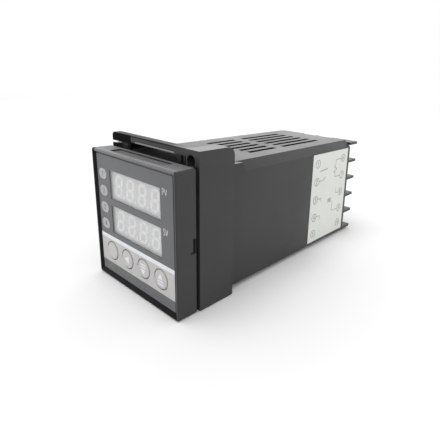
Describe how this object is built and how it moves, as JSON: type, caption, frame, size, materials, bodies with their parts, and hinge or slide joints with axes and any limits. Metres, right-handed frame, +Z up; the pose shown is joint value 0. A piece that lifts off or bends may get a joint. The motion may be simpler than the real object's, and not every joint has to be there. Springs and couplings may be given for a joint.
{
  "type": "panel temperature controller",
  "caption": "Square panel temperature controller with two digit windows, keys, indicators, deep vented case, rear screw terminals and a sliding panel bracket.",
  "frame": {"origin": "centre of the panel cut-out, on the plane where the rear of the case flange seats on the panel", "axes": "+Z up, the front faces -Y, the case runs along +Y, +X is to the right seen from the front"},
  "size_m": [0.0486, 0.1094, 0.0528],
  "materials": {
    "case_plastic": "fine matte moulded black",
    "block_plastic": "matte moulded black",
    "bracket_plastic": "fine matte moulded black",
    "bezel_plastic": "satin moulded black",
    "front_print": "satin printed dark grey film with a silver band",
    "clear_window": "clear",
    "indicator_lens": "milky",
    "led_resin": "clear resin",
    "display_face": "matte pale grey",
    "digit_resin": "milky resin",
    "key_plastic": "satin silver",
    "circuit_board": "green solder mask",
    "switch_plastic": "matte black",
    "contact_brass": "stamped",
    "clamp_steel": "nickel plated",
    "screw_steel": "nickel plated",
    "label_film": "matte white label",
    "ferrite": "dull dark grey",
    "coil_tape": "yellow tape",
    "relay_plastic": "blue sealed case",
    "capacitor_sleeve": "black shrink sleeve",
    "varistor_coat": "blue coating",
    "chip_resin": "matte black",
    "crystal_can": "drawn metal can"
  },
  "bodies": {
    "case": {"case_shell": "case_plastic", "terminal_block": "block_plastic", "terminal_contacts": "contact_brass", "terminal_clamps": "clamp_steel", "terminal_screws": "screw_steel", "side_label": "label_film"},
    "bracket": {"mounting_bracket": "bracket_plastic"},
    "chassis": {"front_bezel": "bezel_plastic", "front_film": "front_print", "window_pane": "clear_window", "indicator_lenses": "indicator_lens", "indicator_leds": "led_resin", "upper_display": "display_face", "lower_display": "display_face", "upper_digits": "digit_resin", "lower_digits": "digit_resin", "display_board": "circuit_board", "key_switches": "switch_plastic", "power_board": "circuit_board", "logic_board": "circuit_board", "board_headers": "switch_plastic", "transformer_core": "ferrite", "transformer_coil": "coil_tape", "output_relay": "relay_plastic", "alarm_relay": "relay_plastic", "filter_capacitors": "capacitor_sleeve", "varistor": "varistor_coat", "rectifier": "chip_resin", "processor": "chip_resin", "memory_chip": "chip_resin", "input_amplifier": "chip_resin", "crystal": "crystal_can", "smoothing_capacitors": "capacitor_sleeve"},
    "set_button": {"set_key": "key_plastic", "set_plunger": "switch_plastic"},
    "shift_button": {"shift_key": "key_plastic", "shift_plunger": "switch_plastic"},
    "down_button": {"down_key": "key_plastic", "down_plunger": "switch_plastic"},
    "up_button": {"up_key": "key_plastic", "up_plunger": "switch_plastic"}
  },
  "joints": [
    {"name": "chassis_draw", "type": "slide", "parent": "case", "child": "chassis", "axis": [0, -1, 0], "range_m": [0, 0.07]},
    {"name": "bracket_slide", "type": "slide", "parent": "case", "child": "bracket", "axis": [0, 1, 0], "range_m": [0, 0.08]},
    {"name": "set_press", "type": "slide", "parent": "chassis", "child": "set_button", "axis": [0, 1, 0], "range_m": [0, 0.0004], "stiffness_N_per_m": 2000},
    {"name": "shift_press", "type": "slide", "parent": "chassis", "child": "shift_button", "axis": [0, 1, 0], "range_m": [0, 0.0004], "stiffness_N_per_m": 2000},
    {"name": "down_press", "type": "slide", "parent": "chassis", "child": "down_button", "axis": [0, 1, 0], "range_m": [0, 0.0004], "stiffness_N_per_m": 2000},
    {"name": "up_press", "type": "slide", "parent": "chassis", "child": "up_button", "axis": [0, 1, 0], "range_m": [0, 0.0004], "stiffness_N_per_m": 2000}
  ]
}
